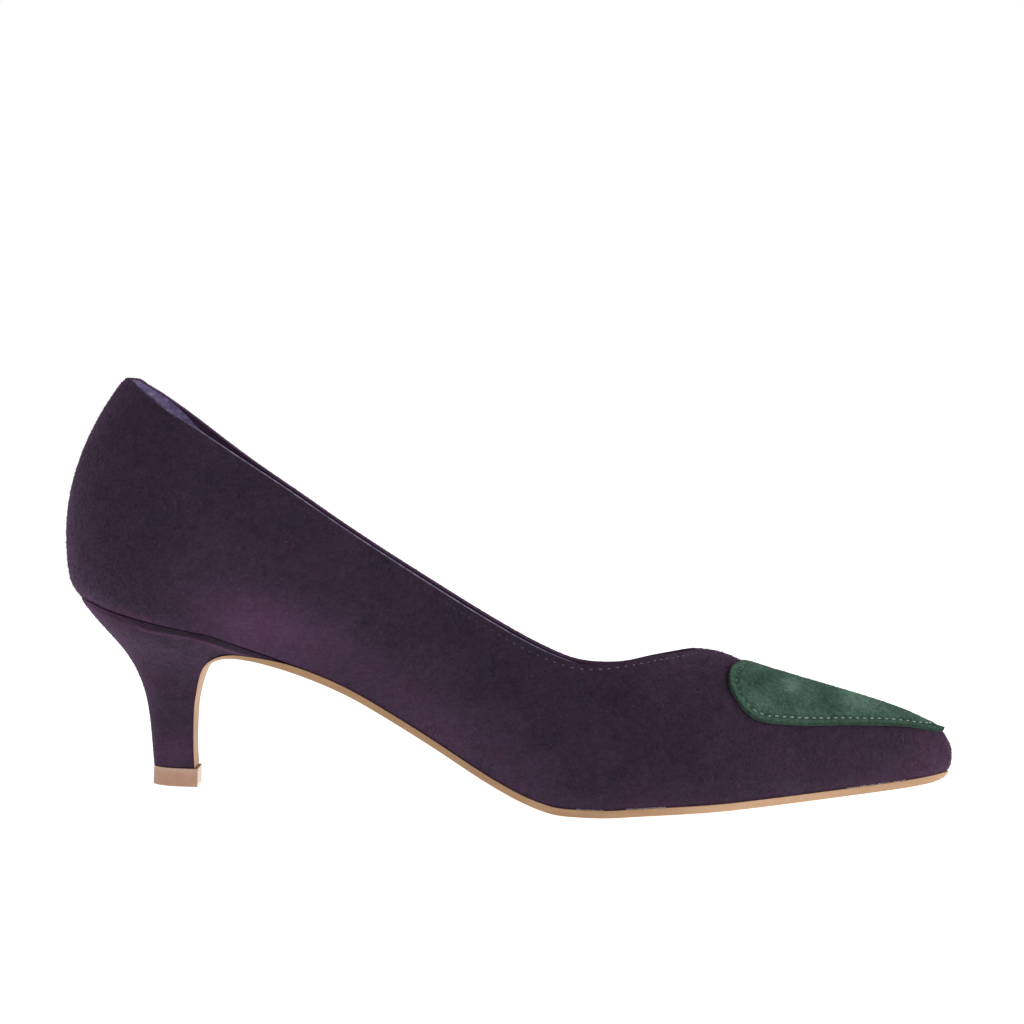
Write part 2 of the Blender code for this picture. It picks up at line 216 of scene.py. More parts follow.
def addNode(tree, kind, inputs=None, **settings):
    node = tree.nodes.new("ShaderNode" + kind)
    for key, value in settings.items():
        setattr(node, key, value)
    for key, value in (inputs or {}).items():
        socket = node.inputs[key]
        if isinstance(value, bpy.types.NodeSocket):
            tree.links.new(value, socket)
        else:
            socket.default_value = value
    return node


def noise(tree, size, cloud, stretch=(1, 1, 1), shift=(0, 0, 0)):  # from 0 to 1, with features of this size
    detail, roughness = cloud
    spot = addNode(tree, "TexCoord")
    place = addNode(tree, "Mapping", {0: spot.outputs["Object"], 1: shift, 3: stretch})
    made = addNode(tree, "TexNoise", {0: place.outputs[0], "Scale": 1 / (size * mm), "Detail": detail,
                                      "Roughness": roughness})
    return made.outputs["Fac"]


def plus(tree, first, second):
    return addNode(tree, "Math", {0: first, 1: second}, operation="ADD").outputs[0]


def weigh(tree, value, weight):  # centred on zero
    return addNode(tree, "Math", {0: value, 1: weight, 2: -weight / 2}, operation="MULTIPLY_ADD").outputs[0]


def above(tree, value, start, end, height):  # rises from 0 at start to height at end
    node = addNode(tree, "MapRange", {0: value, 1: start, 2: end, 3: 0.0, 4: height},
                   interpolation_type="SMOOTHSTEP")
    return node.outputs[0]


def ramp(tree, value, stops):
    node = addNode(tree, "ValToRGB", {0: value})
    elements = node.color_ramp.elements
    while len(elements) < len(stops):
        elements.new(0.5)
    for element, (place, colour) in zip(elements, stops):
        element.position = place
        element.color = (*colour, 1)
    return node.outputs[0]


def attribute(tree, name):
    return addNode(tree, "Attribute", attribute_name=name, attribute_type="GEOMETRY").outputs["Fac"]


def roughen(tree, shader, look, height):
    depth = look["bumpDepth"] * mm
    bump = addNode(tree, "Bump", {"Strength": look["bump"], "Distance": depth, "Height": height})
    tree.links.new(bump.outputs[0], shader.inputs["Normal"])
    shader.inputs["Roughness"].default_value = look["roughness"]
    shader.inputs["Specular IOR Level"].default_value = look["specular"]


def suede(name, tones, look):
    material, tree, shader = newMaterial(name)
    fibres = noise(tree, look["fibre"], suedeClouds["fibre"])
    tufts = noise(tree, look["tuft"], suedeClouds["tuft"])
    clouds = noise(tree, look["cloud"], suedeClouds["cloud"], shift=look["cloudShift"])
    specks = noise(tree, look["speck"], suedeClouds["speck"], shift=suedeClouds["speckShift"])
    hues = noise(tree, look["hue"], suedeClouds["hue"], shift=suedeClouds["hueShift"])
    tone = plus(tree, attribute(tree, "toneAndPaintedLight"), weigh(tree, fibres, look["fibreTone"]))
    tone = plus(tree, tone, weigh(tree, tufts, look["tuftTone"]))
    tone = plus(tree, tone, weigh(tree, clouds, look["cloudTone"]))
    fleck = above(tree, specks, suedeClouds["speckStart"], suedeClouds["speckFull"], look["speckTone"])
    tone = plus(tree, tone, fleck)
    warm = plus(tree, attribute(tree, "warm"), weigh(tree, hues, look["hueTone"]))
    warmed = addNode(tree, "Mix", {0: warm, 6: ramp(tree, tone, tones), 7: (*look["warmth"], 1)},
                     data_type="RGBA", blend_type="MULTIPLY")
    tree.links.new(warmed.outputs[2], shader.inputs["Base Color"])
    roughen(tree, shader, look, plus(tree, fibres, weigh(tree, tufts, suedeClouds["tuftHeight"])))
    shader.inputs["Sheen Weight"].default_value = look["sheen"]
    shader.inputs["Sheen Roughness"].default_value = look["sheenRoughness"]
    shader.inputs["Sheen Tint"].default_value = (*look["sheenTint"], 1)
    return material


def leather(name, tones, look):
    material, tree, shader = newMaterial(name)
    grain = noise(tree, look["grain"], leatherClouds["grain"])
    clouds = noise(tree, look["cloud"], leatherClouds["cloud"], stretch=look["stretch"])
    tone = plus(tree, weigh(tree, grain, look["grainTone"]), weigh(tree, clouds, look["cloudTone"]))
    tone = plus(tree, tone, attribute(tree, "toneAndPaintedLight"))
    tree.links.new(ramp(tree, tone, tones), shader.inputs["Base Color"])
    roughen(tree, shader, look, grain)
    return material


def addTones(piece, name, tones):  # one number for each point, which the finish reads
    made = piece.data.attributes.new(name, "FLOAT", "POINT")
    made.data.foreach_set("value", np.asarray(tones, np.float32))


def brushTones(piece, base, strokes=(), name="toneAndPaintedLight"):
    # soft strokes of lighter or darker tone, in the plane of x and z; on several pieces they are partly the
    # material's own tone and partly painted light and shade
    points = pointsOf(piece) / mm
    tone = np.full(len(points), float(base))
    for stroke in strokes:
        turn = math.radians(stroke.get("turn", 0))
        dx = points[:, 0] - stroke["at"][0]
        dz = points[:, 2] - stroke["at"][1]
        along = (dx * math.cos(turn) + dz * math.sin(turn)) / stroke["size"][0]
        side = (dz * math.cos(turn) - dx * math.sin(turn)) / stroke["size"][1]
        tone += stroke["tone"] * np.exp(-(along ** 2 + side ** 2))
    addTones(piece, name, tone)


def toneAndPaintedLightOf(piece):
    tone = np.empty(len(piece.data.vertices), np.float32)
    piece.data.attributes["toneAndPaintedLight"].data.foreach_get("value", tone)
    return tone


# adds painted light and shade, as lighter or darker tone, to the tone attribute
def paintLightAndShade(piece, change):
    piece.data.attributes["toneAndPaintedLight"].data.foreach_set("value", (toneAndPaintedLightOf(piece) + change).astype(np.float32))


sliverFaces = np.array([(0, 1, 2), (0, 3, 1), (1, 3, 2), (2, 3, 0)])


def growNap(name, piece, hairs, grows, material, slot):
    # short fibres, each a closed sliver, leaning the way they were brushed
    dice = np.random.default_rng(hairs["seed"])
    count = hairs["count"]
    points = pointsOf(piece)
    piece.data.calc_loop_triangles()
    corners = np.array([face.vertices[:] for face in piece.data.loop_triangles])
    first, second, third = (points[corners[:, index]] for index in range(3))
    across = np.cross(second - first, third - first)
    areas = np.linalg.norm(across, axis=1)
    outside = np.array([grows(spot, turn) for spot, turn in zip(points[corners].mean(axis=1), across)])
    share = areas * outside
    chosen = dice.choice(len(corners), count, p=share / share.sum())
    mix = dice.dirichlet((1, 1, 1), count)
    roots = (points[corners[chosen]] * mix[:, :, None]).sum(axis=1)
    normals = across[chosen] / areas[chosen, None]
    lean = np.array(hairs["brushed"]) + dice.normal(0, hairs["loose"], (count, 3))
    lean -= normals * (lean * normals).sum(axis=1, keepdims=True)
    lean /= np.linalg.norm(lean, axis=1, keepdims=True)
    side = np.cross(normals, lean)
    length = dice.uniform(*hairs["long"], (count, 1)) * mm
    width = dice.uniform(*hairs["wide"], (count, 1)) * mm / 2
    rise = dice.uniform(*hairs["rise"], (count, 1))
    foot = roots - normals * width
    tips = roots + lean * length + normals * length * rise
    shape = np.stack([foot - side * width, foot + side * width, roots + normals * width, tips], 1)
    start = np.arange(count)[:, None, None] * shape.shape[1]
    fuzz = joinedPiece(name, shape.reshape(-1, 3), (start + sliverFaces).reshape(-1, 3).tolist())
    pick(fuzz)
    bpy.ops.object.mode_set(mode="EDIT")
    bpy.ops.mesh.select_all(action="SELECT")
    bpy.ops.mesh.normals_make_consistent(inside=False)
    closeEdit()
    tone = (toneAndPaintedLightOf(piece)[corners[chosen]] * mix).sum(axis=1)
    tone += dice.normal(hairs["tone"], hairs["toneSpread"], count)
    addTones(fuzz, "toneAndPaintedLight", np.repeat(tone, shape.shape[1]))
    dress(fuzz, material, slot)


# Soft shaping: where, how far it reaches and how far the surface moves
handShapes = {
    "backFold": {"at": (-107.6, 1.4, 114.0), "reach": (1.7, 12, 2.0), "shift": (0.6, 0, 0.9)},
    "backRound": {"at": (-112, 1.4, 115), "reach": (1.2, 12, 1.2), "shift": (0.3, 0, -0.5)},
    "farRim": {"at": (-93, 20, 103), "reach": (12, 14, 8), "shift": (0, 0, -0.7)},
    "throatLow": {"at": (23, -22, 44), "reach": (8, 22, 7), "shift": (0, 0, -0.5)},
    "throatHigh": {"at": (58, 0, 46), "reach": (9, 30, 8), "shift": (0, 0, 0.4)},
    "backBulge": {"at": (-124, 0, 56), "reach": (5, 26, 6), "shift": (0, 0, -0.7)},
    "seatFront": {"at": (-84, -24, 42), "reach": (9, 26, 5), "shift": (0, 0, 0.8)},
    "seatBack": {"at": (-119, 0, 51), "reach": (6, 26, 6), "shift": (0, 0, 0.8)},
    "noseOut": {"at": (127, 6, 14), "reach": (8, 30, 8), "shift": (1.15, 0, 0)},
    "soleRound": {"at": (127, 1.4, 10), "reach": (4, 14, 1.1), "shift": (-0.9, 0, 0.35)},
}
wallShapes = ("backFold", "backRound", "farRim", "throatLow", "throatHigh",
              "backBulge", "seatFront", "seatBack", "noseOut")


def nudge(piece, *names):  # the same on neighbouring pieces, so they stay together
    for name in names:
        shape = handShapes[name]
        away = (pointsOf(piece) / mm - shape["at"]) / shape["reach"]
        weight = np.exp(-(away ** 2).sum(axis=1, keepdims=True))
        setPoints(piece, pointsOf(piece) + weight * shape["shift"] * mm)


# Upper
upperPlan = {
    "rimRound": 0.7, "rimSteps": 3, "rimClear": 15,
    "featherRound": 0.3, "featherSteps": 2, "featherClear": 0.5,
    "levels": 2, "toneAndPaintedLight": 0.28, "farInsideLight": 0.3,
    "middle": 0.45, "ends": 95, "stations": 60, "window": 6,  # how the middle of its hollow is found
    # tone ramp of the suede; its darker stops lean blue-grey, a painted sheen on the darker zones
    "tones": [
        (0.0, (0.008, 0.0078, 0.011)), (0.15, (0.020, 0.0168, 0.0255)), (0.25, (0.0295, 0.0218, 0.0355)),
        (0.5, (0.056, 0.0310, 0.0600)), (0.75, (0.081, 0.0410, 0.0845)), (1.0, (0.106, 0.0530, 0.109)),
    ],
    "look": {
        "fibre": 0.9, "tuft": 2.6, "cloud": 16, "cloudShift": (0, 0, 0), "speck": 0.7, "hue": 8,
        "fibreTone": 0.5, "tuftTone": 0.27, "cloudTone": 0.26, "speckTone": 0.3, "hueTone": 4,
        "warmth": (1, 0.82, 0.83), "bump": 0.8, "bumpDepth": 0.4, "roughness": 0.95, "specular": 0.1,
        "sheen": 0.2, "sheenRoughness": 0.5, "sheenTint": (0.75, 0.38, 0.8),
    },
    # partly the suede's own patchy tone, partly painted light: lighter low along the quarter and waist, on
    # the back edge and at the toe tip
    "strokes": [
        {"at": (-68, 48), "size": (22, 9), "turn": -15, "tone": 0.44},
        {"at": (-42, 38), "size": (24, 8), "turn": -28, "tone": 0.15},
        {"at": (-12, 20), "size": (20, 7.5), "turn": -29, "tone": 0.17},
        {"at": (6, 12), "size": (10, 7), "turn": -20, "tone": 0.06},
        {"at": (-108, 52), "size": (14, 8), "tone": -0.06},
        {"at": (-125, 70), "size": (7, 24), "tone": 0.04},
        {"at": (21, 10), "size": (5, 4), "tone": -0.07},
        {"at": (9, 21), "size": (9, 6), "tone": -0.03},
        {"at": (27, 33), "size": (10, 5), "tone": -0.08},
        {"at": (50, 38), "size": (14, 6), "tone": -0.06},
        {"at": (60, 13), "size": (32, 9), "tone": -0.04},
        {"at": (100, 15), "size": (16, 7), "tone": 0.03},
        {"at": (45, 22), "size": (9, 7), "tone": -0.05},
        {"at": (24, 20), "size": (8, 6), "tone": 0.04},
        {"at": (121, 18), "size": (9, 8), "tone": 0.17},
        {"at": (-60, 83), "size": (50, 8), "turn": -28, "tone": -0.03},
    ],
    "warmStrokes": [
        {"at": (54, 22), "size": (30, 30), "tone": 1.2},
        {"at": (112, 18), "size": (30, 14), "tone": 0.8},
    ],
    "hairs": {
        "count": 46000, "seed": 11, "long": (0.35, 0.85), "wide": (0.06, 0.11), "rise": (0.2, 0.8),
        "brushed": (0.5, 0, -0.5), "loose": 0.6, "tone": 0.0, "toneSpread": 0.18,
    },
    "edge": {  # the lowest edge: down on the sole, painted shade where it turns under the heel seat, a painted highlight just above
        "stations": (-126, 127, 2), "window": 2, "dropRows": (-66, -58), "drop": (0, 0.27), "dropHigh": 2.0,
        "before": -60, "facing": (0.55, 0.9), "tone": -0.45,
        "edgeHighlightRows": (-104, -92, -62), "edgeHighlightTones": (0.4, 0.15, 0.1), "edgeHighlightHeight": 1.9,
    },
}
insoleTop = heightAlong("insole", max)


def aboveInsole(point):
    return point.z - insoleTop(point.x)


def isRim(point):
    return aboveInsole(point) > upperPlan["rimClear"] * mm


def isFeather(point):
    return aboveInsole(point) < upperPlan["featherClear"] * mm


def spanOf(chain):
    return np.ptp(chain, axis=0).sum()


def upperMiddles(piece):  # middle of the shoe's hollow over x
    points = pointsOf(piece)
    xs = np.linspace(points[:, 0].min(), points[:, 0].max(), upperPlan["stations"])
    spread = [points[np.abs(points[:, 0] - x) < upperPlan["window"] * mm] for x in xs]
    heights = [near[:, 2].min() + upperPlan["middle"] * np.ptp(near[:, 2]) for near in spread]
    return xs, [near[:, 1].mean() for near in spread], heights


def middleAt(middles, spot):
    x = np.clip(spot[0], -upperPlan["ends"] * mm, upperPlan["ends"] * mm)
    return np.array((x, np.interp(x, middles[0], middles[1]), np.interp(x, middles[0], middles[2])))


def isOuter(spot, turn):
    return (spot - middleAt(middles, spot)).dot(turn) > 0


upper = copyNode("upper", "upperSuede")
selectSharp(upper, wanted=isRim)
rimLoop = max(selectedChains(upper), key=spanOf)  # outer edge of the collar
bevelSelected(upper, upperPlan["rimRound"], upperPlan["rimSteps"])
selectSharp(upper, wanted=isFeather)
bevelSelected(upper, upperPlan["featherRound"], upperPlan["featherSteps"])
subdivide(upper, upperPlan["levels"])
nudge(upper, *wallShapes)
edge = upperPlan["edge"]
points = pointsOf(upper) / mm
stations = np.arange(*edge["stations"])
lowest = [points[np.abs(points[:, 0] - x) < edge["window"], 2].min() for x in stations]
height = points[:, 2] - np.interp(points[:, 0], stations, lowest)
points[:, 2] -= np.interp(points[:, 0], edge["dropRows"], edge["drop"]) * bell(height, edge["dropHigh"])
setPoints(upper, points * mm)
smooth(upper)
brushTones(upper, upperPlan["toneAndPaintedLight"], upperPlan["strokes"])
brushTones(upper, 0, upperPlan["warmStrokes"], "warm")
# painted shade where the wall turns under, behind the waist
underShade = np.interp(-normalsOf(upper)[:, 2], edge["facing"], (0, 1))
paintLightAndShade(upper, edge["tone"] * underShade * (points[:, 0] < edge["before"]))
# painted highlight in a band just above the lowest edge
edgeHighlight = np.interp(points[:, 0], edge["edgeHighlightRows"], edge["edgeHighlightTones"])
paintLightAndShade(upper, edgeHighlight * bell(height, edge["edgeHighlightHeight"]))
# painted light: the inside of the far wall made lighter where it lies in shade
farInsideLight = (points[:, 1] > 0) & (normalsOf(upper)[:, 1] < 0)
paintLightAndShade(upper, upperPlan["farInsideLight"] * farInsideLight)
aubergineSuede = suede("aubergine suede", upperPlan["tones"], upperPlan["look"])
dress(upper, aubergineSuede, "upper_suede", "upper")
upperSurface = surfaceOf(upper)
middles = upperMiddles(upper)
growNap("upperNapFibres", upper, upperPlan["hairs"], isOuter, aubergineSuede, "upper_suede")

# Lining: the inner wall, its cut edge along the folded collar
liningPlan = {
    "facing": 0.2, "thick": 0.5, "proud": 0.25, "levels": 2, "toneAndPaintedLight": 0.5,
    "sideRows": (-12, -2), "lowRows": (-106, -96, -91, 0, 30), "lowEdge": (0.2, 0.5, 2.4, 1.2, 0.5),
    "proudRows": (-80, -40, 10, 40), "proudEdge": (0.6, 0.85, 1.1, 0.4),
    "nearSide": -5, "nearHighlightRows": (-100, -80, -30), "nearHighlightTones": (0.1, 0.35, 0.2),
    "tones": [(0.0, (0.05, 0.037, 0.10)), (0.5, (0.17, 0.135, 0.27)), (1.0, (0.42, 0.38, 0.52))],
    "look": {
        "grain": 1.6, "cloud": 6, "stretch": (1, 1, 1), "grainTone": 1.5, "cloudTone": 0.8,
        "bump": 0.35, "bumpDepth": 0.15, "roughness": 0.5, "specular": 0.4,
    },
}


def facesInwards(face):
    middle = Vector(middleAt(middles, face.center))
    return (middle - face.center).normalized().dot(face.normal) > liningPlan["facing"]


def trimEdge(piece):  # the open top edge: proud of the collar on the near side, below it on the far side
    mesh = piece.data
    uses = {}
    for face in mesh.polygons:
        for key in face.edge_keys:
            uses[key] = uses.get(key, 0) + 1
    openEdges = [key for key, count in uses.items() if count == 1]
    border = {index for key in openEdges for index in key if isRim(mesh.vertices[index].co)}
    nextRow = {}
    for first, second in uses:
        for here, there in ((first, second), (second, first)):
            if here in border and there not in border:
                step = mesh.vertices[there].co - mesh.vertices[here].co
                if here not in nextRow or step.length < nextRow[here].length:
                    nextRow[here] = step
    for index, step in nextRow.items():
        spot = mesh.vertices[index].co
        low = np.interp(spot.x / mm, liningPlan["lowRows"], liningPlan["lowEdge"])
        proud = np.interp(spot.x / mm, liningPlan["proudRows"], liningPlan["proudEdge"])
        spot -= step.normalized() * np.interp(spot.y / mm, liningPlan["sideRows"], (proud, -low)) * mm


lining = copyNode("upper", "liningLeather")
openEdit(lining, "FACE")
bpy.ops.mesh.select_all(action="DESELECT")
closeEdit()
for face in lining.data.polygons:
    face.select = not facesInwards(face)
bpy.ops.object.mode_set(mode="EDIT")
bpy.ops.mesh.delete(type="FACE")
closeEdit()
trimEdge(lining)
subdivide(lining, liningPlan["levels"])
nudge(lining, *wallShapes)
offset = 2 * liningPlan["proud"] / liningPlan["thick"] - 1
applyModifier(lining, "SOLIDIFY", thickness=liningPlan["thick"] * mm, offset=offset)
smooth(lining)
brushTones(lining, liningPlan["toneAndPaintedLight"])
points = pointsOf(lining) / mm
# painted highlight: the lining of the near wall lighter, where its top edge catches the light
nearHighlight = np.interp(points[:, 0], liningPlan["nearHighlightRows"], liningPlan["nearHighlightTones"])
paintLightAndShade(lining, nearHighlight * (points[:, 1] < liningPlan["nearSide"]))
liningLeather = leather("lining leather", liningPlan["tones"], liningPlan["look"])
dress(lining, liningLeather, "lining_leather")

# Bare sock on the insole, pushed out to meet the lining
sockPlan = {
    "round": 0.3, "steps": 2, "levels": 2, "toneAndPaintedLight": 0.5, "leastSide": 0.3,
    "outRows": (-110, -98), "out": (1.6, 0.95), "farRows": (-42, -22, 10, 24), "farOut": (0, 1.6, 1.5, 0),
}
sock = copyNode("insole", "sockLeather")
points = pointsOf(sock)
out = np.interp(points[:, 0] / mm, sockPlan["outRows"], sockPlan["out"])
out += np.interp(points[:, 0] / mm, sockPlan["farRows"], sockPlan["farOut"]) * (points[:, 1] > 0)
outward = unitAlong(normalsOf(sock), (1, 1, 0), sockPlan["leastSide"])
setPoints(sock, points + outward * out[:, None] * mm)
selectSharp(sock)
bevelSelected(sock, sockPlan["round"], sockPlan["steps"])
subdivide(sock, sockPlan["levels"])
smooth(sock)
brushTones(sock, sockPlan["toneAndPaintedLight"])
dress(sock, liningLeather, "lining_leather", "insole")

# Outsole with its flap down the heel breast
solePlan = {
    "round": 0.3, "steps": 2, "levels": 2, "toneAndPaintedLight": 0.5, "lapEnd": -60, "lapFade": 5, "heelGap": 0.28,
    "flapHeights": (26, 34), "pared": (0.3, 0.9), "hug": 0.85,
    "tones": [(0.0, (0.20, 0.115, 0.06)), (0.5, (0.44, 0.258, 0.137)), (1.0, (0.80, 0.54, 0.37))],
    "look": {
        "grain": 0.5, "cloud": 12, "stretch": (0.5, 1, 3), "grainTone": 0.2, "cloudTone": 0.35,
        "bump": 0.3, "bumpDepth": 0.12, "roughness": 0.55, "specular": 0.35,
    },
    # painted light and shade: lighter over the ball and toe, a strong painted highlight on the flap down the
    # heel breast, a little darker in the waist
    "strokes": [
        {"at": (70, 8), "size": (25, 30), "tone": 0.15},
        {"at": (120, 12), "size": (20, 30), "tone": 0.05},
        {"at": (-80, 20), "size": (10, 22), "tone": 0.4},
        {"at": (-40, 30), "size": (50, 40), "tone": -0.05},
    ],
}
# Padding under the front of the heel's cover, which the flap makes room for
breastPad = {"out": 0.4, "rows": (-70, -62), "behind": -95, "above": 6.5, "facing": 0.35}


def padAt(x):
    return breastPad["out"] * mm * np.interp(x / mm, breastPad["rows"], (1, 0))


sole = copyNode("outsole", "soleLeather")
heelFaces = surfaceOf(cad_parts["heel"])
drawn = []
for point in pointsOf(sole):
    spot, _, _, distance = heelFaces.find_nearest(Vector(point))
    near = np.clip((solePlan["lapEnd"] * mm - point[0]) / (solePlan["lapFade"] * mm), 0, 1)
    pared = np.interp(point[2] / mm, solePlan["flapHeights"], solePlan["pared"])
    closer = distance - padAt(point[0]) * solePlan["hug"] - (distance - solePlan["heelGap"] * mm) * pared
    drawn.append(point + (np.array(spot) - point) / distance * closer * near)
setPoints(sole, drawn)
selectSharp(sole)
bevelSelected(sole, solePlan["round"], solePlan["steps"])
subdivide(sole, solePlan["levels"])
nudge(sole, "noseOut", "soleRound")
smooth(sole)
brushTones(sole, solePlan["toneAndPaintedLight"], solePlan["strokes"])
dress(sole, leather("sole leather", solePlan["tones"], solePlan["look"]), "sole_leather", "outsole")

# Suede-covered heel
heelPlan = {
    "levels": 2, "sharp": 28, "toneAndPaintedLight": 0.33, "warm": 0.4, "seatGap": 0.3, "seatBand": 0.4, "tuck": 0.3,
    "ridgeBand": 2.6, "ridge": 0.2, "fillRows": (-121, -112), "fill": (0.1, 1.0),
    "frontRows": (-118, -104, -92), "front": (0.1, 0.5, 1),
    "strokes": [
        {"at": (-92, 42), "size": (16, 6), "turn": -15, "tone": -0.1},
        {"at": (-93, 26), "size": (5, 11), "tone": -0.03},
        {"at": (-88, 34), "size": (3, 8), "tone": 0.04},
        {"at": (-93, 9), "size": (6, 6), "tone": 0.26},
    ],
    "shade": {  # under the seat, painted light and shade: a pale edge lifted against its shade, a dark strip of painted shade and a painted highlight on the ridge below it
        "edgeTone": 0.14, "edgeFade": 1.8, "strip": 1.4, "stripShade": -0.05, "stripFade": 0.15,
        "ridge": 2.0, "ridgeWide": 0.45, "ridgeHighlight": 0.4,
        "ripple": 0.25, "waves": (0.55, 0.23), "waveStart": 1,
    },
    "hairs": {
        "count": 5000, "seed": 12, "long": (0.25, 0.5), "wide": (0.06, 0.1), "rise": (0.15, 0.6),
        "brushed": (0, 0, -1), "loose": 0.6, "tone": 0.0, "toneSpread": 0.18,
    },
    "hairSlope": 0.3,
}
insoleUnder = heightAlong("insole", min)


def frontOf(x):  # how much of the front's shaping this place has
    return np.interp(x / mm, heelPlan["frontRows"], heelPlan["front"])


def belowSeat(points):
    return insoleUnder(points[:, 0]) - heelPlan["seatGap"] * mm - points[:, 2]


def isHeelSide(spot, turn):
    return turn[2] < heelPlan["hairSlope"] * abs(turn[1])


heel = copyNode("heel", "heelCover")
points = pointsOf(heel)
normals = normalsOf(heel)
depth = belowSeat(points)
onSeat = depth < heelPlan["seatBand"] * mm
onRidge = ~onSeat & (depth < heelPlan["ridgeBand"] * mm)
front = frontOf(points[:, 0])
fill = np.interp(points[:, 0] / mm, heelPlan["fillRows"], heelPlan["fill"])
step = front * (heelPlan["ridge"] * onRidge - heelPlan["tuck"] * onSeat)
step += (1 - front) * fill * onSeat
points = points + unitAlong(normals, (1, 1, 0)) * step[:, None] * mm
onBreast = (normals[:, 0] - normals[:, 2] > breastPad["facing"]) & (points[:, 0] > breastPad["behind"] * mm)
onBreast &= points[:, 2] > breastPad["above"] * mm
points = points + unitAlong(normals, (1, 0, 1)) * (onBreast * padAt(points[:, 0]))[:, None]
print("heel seat points", onSeat.sum(), "ridge points", onRidge.sum())
setPoints(heel, points)
selectSharp(heel, heelPlan["sharp"])
creaseSelected(heel)
subdivide(heel, heelPlan["levels"])
nudge(heel, "seatFront", "seatBack")
smooth(heel, heelPlan["sharp"])
brushTones(heel, heelPlan["toneAndPaintedLight"], heelPlan["strokes"])
brushTones(heel, heelPlan["warm"], name="warm")
points = pointsOf(heel)
xs = points[:, 0] / mm
depth = belowSeat(points) / mm
for rise in (handShapes["seatFront"], handShapes["seatBack"]):
    depth += rise["shift"][2] * bell(xs - rise["at"][0], rise["reach"][0])
band = heelPlan["shade"]
depth += band["ripple"] * np.sin(xs * band["waves"][0]) * np.cos(xs * band["waves"][1] + band["waveStart"])
front = frontOf(points[:, 0])
# painted light and shade under the seat: the edge lifted, painted shade in the strip, a painted highlight on
# the ridge
shade = band["edgeTone"] * np.exp(-np.maximum(depth, 0) / band["edgeFade"])
shade += band["stripShade"] * front / (1 + np.exp((depth - band["strip"]) / band["stripFade"]))
shade += band["ridgeHighlight"] * front * bell(depth - band["ridge"], band["ridgeWide"])
paintLightAndShade(heel, shade)
dress(heel, aubergineSuede, "heel_suede", "heel")
growNap("heelNapFibres", heel, heelPlan["hairs"], isHeelSide, aubergineSuede, "heel_suede")

# Top piece
topPlan = {
    "round": 0.7, "steps": 2, "levels": 2, "toneAndPaintedLight": 0.48, "frontHighlight": 0.5,
    "tones": [(0.0, (0.24, 0.14, 0.09)), (0.5, (0.48, 0.28, 0.19)), (1.0, (0.92, 0.80, 0.70))],
    "look": {
        "grain": 0.35, "cloud": 5, "stretch": (1, 1, 1), "grainTone": 0.2, "cloudTone": 0.25,
        "bump": 0.25, "bumpDepth": 0.08, "roughness": 0.5, "specular": 0.4,
    },
    "strokes": [{"at": (-92, 6), "size": (30, 2), "tone": 0.15}],
}
topLift = copyNode("top_piece", "topLift")
selectSharp(topLift)
bevelSelected(topLift, topPlan["round"], topPlan["steps"])
subdivide(topLift, topPlan["levels"])
smooth(topLift)
brushTones(topLift, topPlan["toneAndPaintedLight"], topPlan["strokes"])
# painted highlight: faces turned towards the front lighter
paintLightAndShade(topLift, topPlan["frontHighlight"] * np.clip(normalsOf(topLift)[:, 0], 0, 1))
dress(topLift, leather("top piece", topPlan["tones"], topPlan["look"]), "top_piece", "top_piece")

# Heart, thickened, pressed in along its stitches and drawn out to its tip
heartPlan = {
    "levels": 3, "toneAndPaintedLight": 0.6, "gap": 0.5, "stock": 0.6, "sink": 0.1, "thick": 1.1,
    "edgeRound": 0.22, "edgeSteps": 2,
    "inset": 2.3, "groove": 0.25, "grooveWide": 0.75, "tipCrease": 1.5, "tipLength": 11, "tipOut": 3.5,
    "edgeTone": -0.35, "grooveShade": -0.4, "shadeWide": 0.5,
    "tones": [
        (0.0, (0.016, 0.034, 0.025)), (0.3, (0.042, 0.079, 0.059)), (0.6, (0.062, 0.112, 0.084)),
        (0.85, (0.090, 0.165, 0.122)), (1.0, (0.13, 0.225, 0.17)),
    ],
    "look": {
        "fibre": 0.8, "tuft": 2.0, "cloud": 9, "cloudShift": (0.02, 0, 0), "speck": 0.55, "hue": 9,
        "fibreTone": 1.3, "tuftTone": 0.6, "cloudTone": 0.5, "speckTone": 0.35, "hueTone": 0,
        "warmth": (1, 1, 1), "bump": 0.8, "bumpDepth": 0.4, "roughness": 0.95, "specular": 0.08,
        "sheen": 0.12, "sheenRoughness": 0.5, "sheenTint": (0.35, 0.7, 0.5),
    },
    "strokes": [
        {"at": (71.3, 38), "size": (5, 2.5), "tone": -0.45},
        {"at": (71.8, 40.5), "size": (4, 1.5), "tone": 0.35},
        {"at": (79.4, 36.2), "size": (4, 2), "tone": 0.45},
        {"at": (90.2, 32.4), "size": (4, 3), "tone": -0.4},
        {"at": (77.6, 32.1), "size": (4, 3.5), "tone": -0.25},
        {"at": (98.6, 32.9), "size": (6, 2.5), "tone": 0.4},
        {"at": (69.8, 32.5), "size": (5, 3), "tone": 0.2},
        {"at": (92, 23), "size": (30, 3), "tone": -0.5},
        {"at": (66, 30), "size": (5, 8), "tone": -0.2},
    ],
    "hairs": {
        "count": 5000, "seed": 13, "long": (0.25, 0.55), "wide": (0.06, 0.1), "rise": (0.15, 0.7),
        "brushed": (0.7, 0, 0), "loose": 0.8, "tone": 0.0, "toneSpread": 0.2,
    },
}


def overUpper(point):  # nearest place on the upper, its normal and the height over it
    spot, normal, _, _ = upperSurface.find_nearest(point)
    return spot, normal, (point - spot).dot(normal)


def meanHeight(chain):
    return np.mean([overUpper(Vector(point))[2] for point in chain])


def isHeartTop(spot, turn):
    return turn[2] > 0


